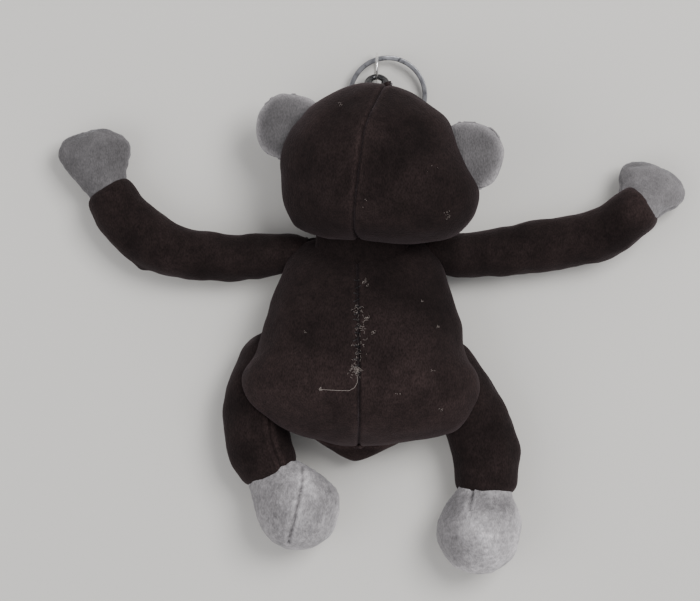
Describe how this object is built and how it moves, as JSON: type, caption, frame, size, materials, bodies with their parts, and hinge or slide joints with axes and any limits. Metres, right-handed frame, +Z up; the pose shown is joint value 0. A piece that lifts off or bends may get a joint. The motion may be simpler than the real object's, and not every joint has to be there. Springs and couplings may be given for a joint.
{
  "type": "plush monkey keychain",
  "caption": "Stuffed plush monkey lying face down, with jointed head, arms, hands, legs and feet, a crown loop, a jump ring and a split ring.",
  "frame": {"origin": "on the supporting surface, under the middle of the object's box, with the toy lying on its belly", "axes": "+Z up, out of the monkey's back; +Y from the feet towards the crown; +X to the right as seen from above"},
  "size_m": [0.197, 0.1635, 0.049],
  "materials": {
    "black_plush": "short-pile charcoal black plush with a soft sheen",
    "grey_plush": "short-pile cool grey plush",
    "stuffing": "loose white polyester fibre",
    "black_gloss": "glossy black moulded plastic",
    "bright_steel": "bright nickel plate",
    "grey_steel": "flat nickel-plated spring steel, lightly worn"
  },
  "bodies": {
    "torso": {"torso_stuffing": "stuffing", "back_panel_left": "black_plush", "back_panel_right": "black_plush", "belly_panel": "black_plush"},
    "head": {"head_stuffing": "stuffing", "head_back_left": "black_plush", "head_back_right": "black_plush", "face_panel": "grey_plush", "muzzle": "grey_plush", "ear_left": "grey_plush", "ear_right": "grey_plush", "eye_left": "black_gloss", "eye_right": "black_gloss", "eye_washer_left": "black_gloss", "eye_washer_right": "black_gloss", "hanging_loop": "black_gloss"},
    "jump_ring": {"jump_ring": "bright_steel"},
    "split_ring": {"split_ring": "grey_steel"},
    "arm_left": {"arm_left": "black_plush", "arm_stuffing_left": "stuffing"},
    "hand_left": {"hand_left": "grey_plush", "hand_stuffing_left": "stuffing"},
    "leg_left": {"leg_left": "black_plush", "leg_stuffing_left": "stuffing"},
    "foot_left": {"foot_left": "grey_plush", "foot_stuffing_left": "stuffing"},
    "arm_right": {"arm_right": "black_plush", "arm_stuffing_right": "stuffing"},
    "hand_right": {"hand_right": "grey_plush", "hand_stuffing_right": "stuffing"},
    "leg_right": {"leg_right": "black_plush", "leg_stuffing_right": "stuffing"},
    "foot_right": {"foot_right": "grey_plush", "foot_stuffing_right": "stuffing"}
  },
  "joints": [
    {"name": "neck_tilt", "type": "hinge", "parent": "torso", "child": "head", "pos_m": [-0.0028, 0.021, 0.018], "axis": [0, 0, 1], "range_deg": [-5, 12]},
    {"name": "jump_ring_swing", "type": "hinge", "parent": "head", "child": "jump_ring", "pos_m": [0.0019, 0.0743, 0.005], "axis": [1, 0, 0], "range_deg": [0, 75]},
    {"name": "split_ring_swing", "type": "hinge", "parent": "jump_ring", "child": "split_ring", "pos_m": [0.0019, 0.07983, 0.00435], "axis": [1, 0, 0], "range_deg": [0, 180]},
    {"name": "shoulder_left", "type": "hinge", "parent": "torso", "child": "arm_left", "pos_m": [-0.0296, 0.0178, 0.0116], "axis": [0, 0, 1], "range_deg": [-20, 45]},
    {"name": "wrist_left", "type": "hinge", "parent": "arm_left", "child": "hand_left", "pos_m": [-0.0824, 0.0382, 0.0089], "axis": [0, 0, 1], "range_deg": [-25, 25]},
    {"name": "hip_left", "type": "hinge", "parent": "torso", "child": "leg_left", "pos_m": [-0.0296, -0.017, 0.0105], "axis": [0, 0, 1], "range_deg": [-12, 12]},
    {"name": "ankle_left", "type": "hinge", "parent": "leg_left", "child": "foot_left", "pos_m": [-0.0308, -0.0512, 0.0116], "axis": [0, 0, 1], "range_deg": [-20, 12]},
    {"name": "shoulder_right", "type": "hinge", "parent": "torso", "child": "arm_right", "pos_m": [0.0232, 0.0178, 0.0116], "axis": [0, 0, 1], "range_deg": [-45, 20]},
    {"name": "wrist_right", "type": "hinge", "parent": "arm_right", "child": "hand_right", "pos_m": [0.083, 0.0324, 0.0162], "axis": [0, 0, 1], "range_deg": [-25, 8]},
    {"name": "hip_right", "type": "hinge", "parent": "torso", "child": "leg_right", "pos_m": [0.0234, -0.018, 0.0105], "axis": [0, 0, 1], "range_deg": [-12, 12]},
    {"name": "ankle_right", "type": "hinge", "parent": "leg_right", "child": "foot_right", "pos_m": [0.036, -0.056, 0.0116], "axis": [0, 0, 1], "range_deg": [-20, 20]}
  ]
}
